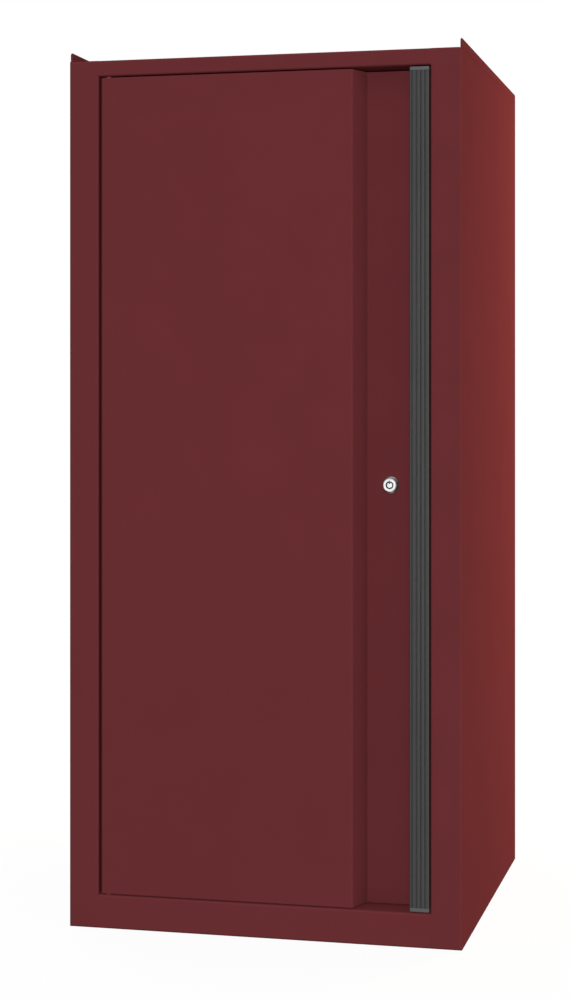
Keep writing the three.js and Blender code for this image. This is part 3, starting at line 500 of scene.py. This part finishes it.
PANEL_EDGE, BEVEL_FOOT = 117.0, 130.0
SKIN_EASE = 1.0
LINER_RIVET = (2.6, 0.6)  # radius and height of a head, here and below
LINER_RIVET_PLACES = [[x, DOOR_BACK, z] for x in (-199.0, 198.0) for z in np.linspace(85.0, 1048.0, 8)]


def skin_shell():
    """Door skin: the front outline of panel, bevel, strip and edges, carried up the door. At each end
    the outline draws in along its normals by a quarter circle, and a plate closes it."""
    path = rounded(
        [[DOOR_RIGHT, DOOR_BACK], [DOOR_RIGHT, STRIP_FACE], [BEVEL_FOOT, STRIP_FACE], [PANEL_EDGE, FRONT],
         [DOOR_LEFT, FRONT], [DOOR_LEFT, DOOR_BACK]],
        [0, FOLD, BEND, FOLD, FOLD, 0], closed=False)
    along = np.gradient(path, axis=0)
    normal = np.stack([along[:, 1], -along[:, 0]], 1) / np.linalg.norm(along, axis=1)[:, None]
    stations, inset = drawn_in(DOOR_BOTTOM, DOOR_TOP, SKIN_EASE, 7)
    section = path + normal * inset[:, None, None]
    section[..., 1] = np.minimum(section[..., 1], DOOR_BACK)
    return carried(section, stations, "z", wrap=False)


walled(piece("door_skin_sheet", skin_shell(), RED_PAINT, "door", ["door_skin"], facing=(0, -1, 0)))
piece("liner_rivets", repeated(head(*LINER_RIVET, "y", 1), LINER_RIVET_PLACES), RED_PAINT, "door")


# Pull

PULL_LEFT, PULL_WIDTH, PULL_SEAT = 189.0, 24.5, 31.95
PULL_WALL, PULL_FACE, PULL_LIP, PULL_FOOT = 2.5, 3.2, 8.0, 17.0
PULL_CORNER, PULL_EDGE, PULL_LIP_ROUND = 1.4, 0.3, 1.19
GROOVE = np.array([[-1.0, 0.0], [-0.6, 1.8], [0.6, 1.8], [1.0, 0.0]])
GROOVE_RADII = [0.25, 0.3, 0.3, 0.25]
GROOVES, GROOVE_FIRST, GROOVE_PITCH = 4, 3.4, 5.4
PULL_CAP, CAP_EASE, CAP_EDGE = 4.5, 0.5, 0.4
PULL_SCREW = (3.0, 1.6)
PULL_SCREW_PLACES = [[203.5, STRIP_FACE - PULL_WALL - SEAM, z] for z in np.linspace(110.0, 1023.5, 6)]


def pull_section():
    """Section of the hooked pull: a front with four rounded grooves, a finger lip and a foot on the
    strip."""
    middles = GROOVE_FIRST + GROOVE_PITCH * np.arange(GROOVES)
    grooves = (GROOVE + np.stack([middles, np.zeros(GROOVES)], 1)[:, None]).reshape(-1, 2)
    toe, inner, under = PULL_WIDTH - PULL_FOOT, PULL_WIDTH - PULL_WALL, PULL_SEAT - PULL_WALL
    corners = np.concatenate([
        [[0, PULL_LIP], [0, 0]],
        grooves,
        [[PULL_WIDTH, 0], [PULL_WIDTH, PULL_SEAT], [toe, PULL_SEAT], [toe, under]],
        [[inner, under], [inner, PULL_FACE], [PULL_WALL, PULL_FACE], [PULL_WALL, PULL_LIP]],
    ])
    radii = np.concatenate([
        [PULL_LIP_ROUND, PULL_CORNER],
        np.tile(GROOVE_RADII, GROOVES),
        [PULL_CORNER, PULL_EDGE, PULL_EDGE, PULL_EDGE],
        [PULL_CORNER, PULL_CORNER, PULL_CORNER, PULL_LIP_ROUND],
    ])
    return rounded(corners, radii, steps=6) + [PULL_LEFT, FRONT]


def cap_shell(low):
    """End cap of the pull: a plain plan with the pull's outer corners carried up, drawn in by a
    quarter circle at each end."""
    plan = rounded([[0, 0], [PULL_WIDTH, 0], [PULL_WIDTH, PULL_SEAT], [0, PULL_SEAT]],
                   [PULL_CORNER, PULL_CORNER, CAP_EDGE, CAP_EDGE])
    middle = np.array([PULL_WIDTH, PULL_SEAT]) / 2
    stations, inset = drawn_in(low, low + PULL_CAP, CAP_EASE, 6)
    section = plan - np.clip(plan - middle, -1, 1) * inset[:, None, None] + [PULL_LEFT, FRONT]
    return carried(section, stations, "z")


pull_ends = [DOOR_BOTTOM + PULL_CAP + SEAM, DOOR_TOP - PULL_CAP - SEAM]
piece("pull_extrusion", carried(pull_section(), pull_ends, "z"), BLACK_PULL, "door", ["door_pull"])
piece("pull_end_bottom", cap_shell(DOOR_BOTTOM), BLACK_PLASTIC, "door", ["pull_cap_bottom"])
piece("pull_end_top", cap_shell(DOOR_TOP - PULL_CAP), BLACK_PLASTIC, "door", ["pull_cap_top"])
piece("pull_screws", repeated(head(*PULL_SCREW, "y", -1), PULL_SCREW_PLACES), ZINC, "door")


# Lock, with radii from its axis and lengths back from the strip

LOCK_CENTRE = np.array([159.5, STRIP_FACE, 570.25])
LOCK_FACE, LOCK_END = -9.0, 16.7
LOCK_BORE, KEYWAY, KEYWAY_FLOOR = 3.55, 5.0, -2.0
KEY_SLOT, KEY_SPREAD = 0.7, 12
THREAD_RADIUS, THREAD_DEPTH, THREAD_PITCH, THREAD_FLAT = 9.5, 0.7, 1.5, 8.0
PLUG_RADIUS, PLUG_FACE, PLUG_SLOT_END = 3.3, LOCK_FACE + 0.6, -3.0
DRIVE_HALF, DRIVE_START, DRIVE_END = 2.2, 12.3, 19.5


def spun(profile, marked, notch, spread):
    """A profile of (radius, length) spun about the lock's axis. Its marked points change radius by the
    notch inside a window at the top, which spreads so many degrees to each side with sloped ends: the
    slot for the key."""
    angle = np.linspace(0, 2 * np.pi, 180, endpoint=False)
    window = np.clip((np.radians(spread) - np.abs(angle - np.pi / 2)) / np.radians(2), 0, 1)
    radius = profile[:, :1] + np.where(marked, notch, 0.0)[:, None] * window
    return wound(radius, profile[:, 1:], angle)


def wound(radius, length, angle):
    """A grid about the lock's axis: the point at (place, angle) is the radius times the cosine and
    sine of the angle, and the length along the axis."""
    length = np.broadcast_to(length, radius.shape)
    points = np.stack([radius * np.cos(angle), length, radius * np.sin(angle)], -1)
    return (points + LOCK_CENTRE).reshape(-1, 3), grid_faces(*radius.shape, True)


def ring_profile(corners, radii, steps):
    """A closed profile of (radius, length) with rounded corners, which ends on its first point."""
    ring = rounded(corners, radii, steps=steps)
    return np.concatenate([ring, ring[:1]])


def housing_head():
    """Head of the lock: a turned ring with a flat face, an upright wall and the bore of the keyway,
    which is widened for a dark sleeve that paints the shade of the deep well."""
    ring = ring_profile(
        [[KEYWAY, LOCK_FACE], [7.6, LOCK_FACE], [7.9, LOCK_FACE + 0.5], [7.7, -7.5], [7.2, -SEAM],
         [LOCK_BORE, -SEAM], [LOCK_BORE, KEYWAY_FLOOR], [KEYWAY, KEYWAY_FLOOR]],
        [0.2, 0.3, 0.3, 0.2, 0.1, 0.1, 0.1, 0.1], steps=6)
    on_wall = (ring[:, 0] < KEYWAY + 0.3) & (ring[:, 1] < KEYWAY_FLOOR - 0.2)
    return spun(ring, on_wall, KEY_SLOT, KEY_SPREAD)


def housing_bezel():
    """Bezel of the lock: a satin ring on the strip that runs up the head's wall."""
    ring = ring_profile(
        [[7.4, -SEAM], [7.8, -7.4], [8.4, -7.4], [8.8, -3.6], [10.7, -1.7], [10.7, -SEAM]],
        [0.1, 0.1, 0.15, 0.6, 0.7, 0.15], steps=6)
    return turned(ring, LOCK_CENTRE, "y")


def keyway_shade_sleeve():
    """Painted shade in the keyway: a dark sleeve with the bore's slot, set a little below the face, where a
    deep well would be in shade.
    """
    inner, outer, front, rear = 4.6, KEYWAY - JOIN, LOCK_FACE + 0.5, KEYWAY_FLOOR - 0.1
    ring = ring_profile([[inner, front], [outer, front], [outer, rear], [inner, rear]], 0.08, steps=3)
    return spun(ring, np.full(len(ring), True), KEY_SLOT, KEY_SPREAD)


def housing_barrel():
    """Threaded barrel: the radius saws up and down along a helix and is cut back to two flats. The
    grid turns in at the far end and comes back as the bore."""
    angle = np.linspace(0, 2 * np.pi, 96, endpoint=False)
    length = np.linspace(-0.5, LOCK_END, 104)[:, None]
    saw = np.abs(((length / THREAD_PITCH - angle / (2 * np.pi)) % 1.0) - 0.5) * 2
    flat = THREAD_FLAT / np.maximum(np.abs(np.cos(angle)), 0.01)
    thread = np.minimum(THREAD_RADIUS - THREAD_DEPTH * saw, flat)
    bore = np.full((2, len(angle)), LOCK_BORE)
    radius = np.concatenate([thread, bore, thread[:1]])
    return wound(radius, np.concatenate([length, length[[-1, 0, 0]]]), angle)


def plug_shell():
    """Plug: a post with an eased rim and a slot at the top, and a square that drives the cam."""
    post = rounded(
        [[0, PLUG_FACE], [PLUG_RADIUS, PLUG_FACE], [PLUG_RADIUS, PLUG_SLOT_END - 0.1],
         [PLUG_RADIUS, PLUG_SLOT_END + 0.1], [PLUG_RADIUS, LOCK_END], [0, LOCK_END]],
        [0, 0.35, 0.05, 0.05, 0.2, 0], closed=False, steps=5)
    slotted = (post[:, 0] > PLUG_RADIUS - 0.7) & (post[:, 1] < PLUG_SLOT_END)
    half = DRIVE_HALF
    drive = rounded([[-half, -half], [half, -half], [half, half], [-half, half]], 0.3) + LOCK_CENTRE[[0, 2]]
    square = carried(drive, [STRIP_FACE + DRIVE_START, STRIP_FACE + DRIVE_END], "y")
    return together(spun(post, slotted, -1.5, 22), square)


def collar_shell():
    """Collar of the plug: a ring that fills the floor of the keyway and reaches in under the plug's
    slot. Its dark finish is painted shade on the keyway's floor."""
    inner, outer, front, rear = PLUG_RADIUS - JOIN, 4.2, -3.45, -2.25
    ring = ring_profile([[inner, front], [outer, front], [outer, rear], [inner, rear]], 0.15, steps=4)
    return spun(ring, ring[:, 0] < 3.7, -1.4, 21)


piece("lock_body", together(housing_head(), housing_barrel()), CHROME, "door", ["lock_housing"])
piece("lock_bezel", housing_bezel(), ZINC, "door")
# The keyway sleeve is painted shade: a dark plastic lining where the deep well would be in shade.
piece("lock_keyway_shade", keyway_shade_sleeve(), BLACK_PLASTIC, "door")
piece("lock_core", plug_shell(), CHROME, "lock", ["lock_plug"])
# The collar's dark magnet finish is painted shade on the floor of the keyway.
piece("lock_collar", collar_shell(), FERRITE, "lock")


# Shelves

SHELF_HALF, SHELF_FRONT, SHELF_REAR, SHELF_CORNER = 242.25, -187.0, 258.05, 4.0
SHELF_RETURN, SHELF_WALL, SHELF_MARGIN = 12.0, 25.0, 14.0


def shelf_plan(inset):
    """Rounded plan of a shelf, drawn in by an inset."""
    left, right = -SHELF_HALF + inset, SHELF_HALF - inset
    front, rear = SHELF_FRONT + inset, SHELF_REAR - inset
    corner = max(SHELF_CORNER - inset, 0.6)
    return rounded([[left, front], [right, front], [right, rear], [left, rear]], corner)


def shelf_shell(underside):
    """Shelf: the flange section of return, wall and top edge carried round the plan. Each ring is the
    plan drawn in by the section's inset, at the section's height, and a face closes the top."""
    section = rounded([[SHELF_RETURN, 0], [0, 0], [0, SHELF_WALL], [SHELF_MARGIN, SHELF_WALL]],
                      [0, FOLD, FOLD, 0], closed=False)
    rings = np.stack([shelf_plan(inset) for inset in section[:, 0]])
    rows, columns = rings.shape[:2]
    height = np.broadcast_to(section[:, 1:] + underside, (rows, columns))
    points = np.concatenate([rings, height[..., None]], -1)
    top = list(range((rows - 1) * columns, rows * columns))
    return points.reshape(-1, 3), grid_faces(rows, columns, True) + [top]


for level in ("lower", "middle", "upper"):
    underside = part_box(f"shelf_{level}")[0].z / MM
    walled(piece(f"shelf_{level}_tray", shelf_shell(underside), RED_PAINT, "cabinet", [f"shelf_{level}"],
                 facing=(0, 0, 1)))


# Small fasteners

STANDARD_FACE, STANDARD_PLACES = 243.75, (-147.0, 147.0)
STANDARD_FOOT, FIRST_RIVET, SLOT_PITCH = FLOOR + SEAM, 63.0, 32.0
RIVET_STEPS = np.array([0, 9, 19, 28])  # in slots above the first rivet
STANDARD_RIVET = (2.8, 1.0)
BRACKET_RIVET = (2.4, 1.0)
BRACKET_RIVET_PLACES = [[-215.0, -243.0], [-191.0, -243.0], [-203.0, -238.5]]
BRACKET_LOW, BRACKET_HIGH = 38.7, 1094.8
CATCH_SCREW = (2.4, 1.1)
CATCH_SCREW_PLACES = [[136.0, -207.5], [165.0, -207.5]]
CATCH_LOW, CATCH_HIGH = 56.05, 1077.45


def standard_rivets():
    """Heads that hold the slotted standards, between slots, on the face of each standard."""
    heights = STANDARD_FOOT + FIRST_RIVET + SLOT_PITCH * RIVET_STEPS
    left = [[-STANDARD_FACE, y, z] for y in STANDARD_PLACES for z in heights]
    right = [[STANDARD_FACE, y, z] for y in STANDARD_PLACES for z in heights]
    return together(repeated(head(*STANDARD_RIVET, "x", 1), left),
                    repeated(head(*STANDARD_RIVET, "x", -1), right))


def opposed_heads(size, places, low, high, way):
    """Heads at the same places on a lower and an upper fitting. The lower ones point the way of the
    sign, and the upper ones the other way."""
    lower = np.column_stack([places, np.full(len(places), low)])
    upper = np.column_stack([places, np.full(len(places), high)])
    return together(repeated(head(*size, "z", way), lower), repeated(head(*size, "z", -way), upper))


bracket_rivets = opposed_heads(BRACKET_RIVET, BRACKET_RIVET_PLACES, BRACKET_LOW, BRACKET_HIGH, -1)
catch_screws = opposed_heads(CATCH_SCREW, CATCH_SCREW_PLACES, CATCH_LOW, CATCH_HIGH, 1)
piece("standard_rivets", standard_rivets(), ZINC, "cabinet")
piece("bracket_rivets", bracket_rivets, ZINC, "cabinet")
piece("catch_screws", catch_screws, ZINC, "cabinet")


# Carried-over solids

def eased(solid):
    """Takes the sharpness off a solid's edges: its loose triangles are welded, then sharp edges are
    bevelled."""
    solid.modifiers.new("weld", "WELD").merge_threshold = MERGE
    soft = solid.modifiers.new("ease", "BEVEL")
    soft.width = EASE * MM
    soft.segments = 2
    soft.limit_method = "ANGLE"
    soft.angle_limit = SHARP


slots = {row["node"]: row["material_slot"] for row in frame["record"]["subparts"]}
for name, solid in nodes.items():
    if solid.hide_render:
        continue
    solid.data.materials.clear()
    solid.data.materials.append(FINISHES[slots[name]])
    eased(solid)


# Floor, light and camera, in metres

WHITE = (1, 1, 1)
STUDIO_RADIUS, STUDIO_LEVEL = 6000.0, -0.2  # the studio's floor, these two in millimetres
STUDIO_COLOUR, STUDIO_ROUGHNESS = (0.86, 0.86, 0.86), 0.9
STUDIO_FADE = {"From Min": 0.3, "From Max": 0.9, "To Min": 0.93, "To Max": 1.0}  # distance, share of white


def seen_directly(tree):
    """1 for a ray from the camera or by way of a reflection or glass, and 0 for light on its way to a
    surface."""
    ray = add(tree, "ShaderNodeLightPath").outputs
    bounced = math_node(tree, "MAXIMUM", ray["Is Glossy Ray"], ray["Is Transmission Ray"])
    return math_node(tree, "MAXIMUM", ray["Is Camera Ray"], bounced)


def pale_floor():
    """Floor: a flat disc that takes the locker's shadow and fades into the white of the background
    away from it. It is clear from below, where it would hide the underside, and to light on its way to
    the locker."""
    disc = turned([[0.0, 0.0], [STUDIO_RADIUS, 0.0]], [0, 0, STUDIO_LEVEL], "z", 64)
    mesh = shaped("floor", disc, facing=(0, 0, 1))
    made = bpy.data.materials.new("pale_floor")
    made.use_nodes = True
    tree = made.node_tree
    surface = tree.nodes["Principled BSDF"]
    surface.inputs["Base Color"].default_value = (*STUDIO_COLOUR, 1)
    surface.inputs["Roughness"].default_value = STUDIO_ROUGHNESS
    place = add(tree, "ShaderNodeTexCoord").outputs["Object"]
    away = add(tree, "ShaderNodeVectorMath", {"operation": "LENGTH"}, {0: place}).outputs["Value"]
    fade = add(tree, "ShaderNodeMapRange", {"interpolation_type": "SMOOTHSTEP"}, {"Value": away}, STUDIO_FADE)
    white = add(tree, "ShaderNodeEmission", values={"Color": (*WHITE, 1), "Strength": 1.0})
    top = add(tree, "ShaderNodeMixShader",
              links={0: fade.outputs["Result"], 1: surface.outputs["BSDF"], 2: white.outputs["Emission"]})
    below = add(tree, "ShaderNodeNewGeometry").outputs["Backfacing"]
    above = add(tree, "ShaderNodeMath", {"operation": "SUBTRACT"}, {1: below}, {0: 1.0}).outputs[0]
    shown = math_node(tree, "MULTIPLY", seen_directly(tree), above)
    clear = add(tree, "ShaderNodeBsdfTransparent").outputs["BSDF"]
    mix = add(tree, "ShaderNodeMixShader", links={0: shown, 1: clear, 2: top.outputs["Shader"]})
    tree.links.new(mix.outputs["Shader"], tree.nodes["Material Output"].inputs["Surface"])
    mesh.materials.append(made)
    floor = placed("floor", mesh)


def white_world(strength):
    """White for the camera and in reflections, and soft light of the given strength for all else."""
    world = bpy.data.worlds.new("studio")
    bpy.context.scene.world = world
    world.use_nodes = True
    tree = world.node_tree
    soft = tree.nodes["Background"]
    soft.inputs["Color"].default_value = (*WHITE, 1)
    soft.inputs["Strength"].default_value = strength
    white = add(tree, "ShaderNodeBackground", values={"Color": (*WHITE, 1), "Strength": 1.0})
    mix = add(tree, "ShaderNodeMixShader",
              links={0: seen_directly(tree), 1: soft.outputs["Background"], 2: white.outputs["Background"]})
    tree.links.new(mix.outputs["Shader"], tree.nodes["World Output"].inputs["Surface"])


def hung(lamp, place, target):
    """Hangs a lamp at a place, facing a target."""
    made = placed(lamp.name, lamp)
    made.location = place
    made.rotation_euler = (Vector(target) - Vector(place)).to_track_quat("-Z", "Y").to_euler()


def soft_box(name, place, target, size, power, colour=WHITE):
    """A rectangular lamp that faces a target."""
    lamp = bpy.data.lights.new(name, "AREA")
    lamp.color = colour
    lamp.shape = "RECTANGLE"
    lamp.size, lamp.size_y = size
    lamp.energy = power
    hung(lamp, place, target)


def even_light(name, place, target, strength):
    """A lamp of parallel light without shadows, for the even tone that the photograph has in the
    recess too."""
    lamp = bpy.data.lights.new(name, "SUN")
    lamp.energy = strength
    lamp.use_shadow = False
    hung(lamp, place, target)


def photo_camera():
    """Camera at the photograph's place, level, with the horizon above the middle of the frame."""
    lens = bpy.data.cameras.new("camera")
    lens.lens = 75.07
    lens.sensor_width = 36.0
    lens.shift_y = -0.1102
    made = placed("camera", lens)
    made.location = (0.641, -2.803, 0.6895)
    made.rotation_euler = (math.radians(90), 0, math.radians(13.49))
    bpy.context.scene.camera = made


pale_floor()
white_world(0.38)
even_light("even_light", (0.35, -1.0, 1.0), (0, 0, 0), 1.85)
soft_box("front_light", (0.5, -3.8, 0.2), (0, 0, 0.25), (1.6, 2.0), 24)
soft_box("fill_light", (3.0, -1.5, 0.3), (0.1, -0.25, 0.45), (1.0, 1.8), 17)
soft_box("top_light", (0.5, -3.2, 3.6), (0.1, -0.25, 0.2), (1.6, 1.4), 12)
soft_box("right_light", (3.0, 0.4, 0.7), (0.25, 0, 0.5), (2.0, 2.2), 21, (1, 0.62, 0.36))
soft_box("left_light", (-3.0, 0.6, 0.7), (-0.254, 0, 0.5), (1.6, 2.2), 18)
soft_box("rear_light", (0.8, 0.75, 0.8), (0.254, 0.25, 0.6), (0.3, 1.6), 12, (1, 0.72, 0.5))
soft_box("back_light", (-2.2, 2.6, 1.6), (0, 0, 0.6), (2.0, 2.0), 30)
photo_camera()

bpy.context.scene.view_settings.view_transform = "Standard"
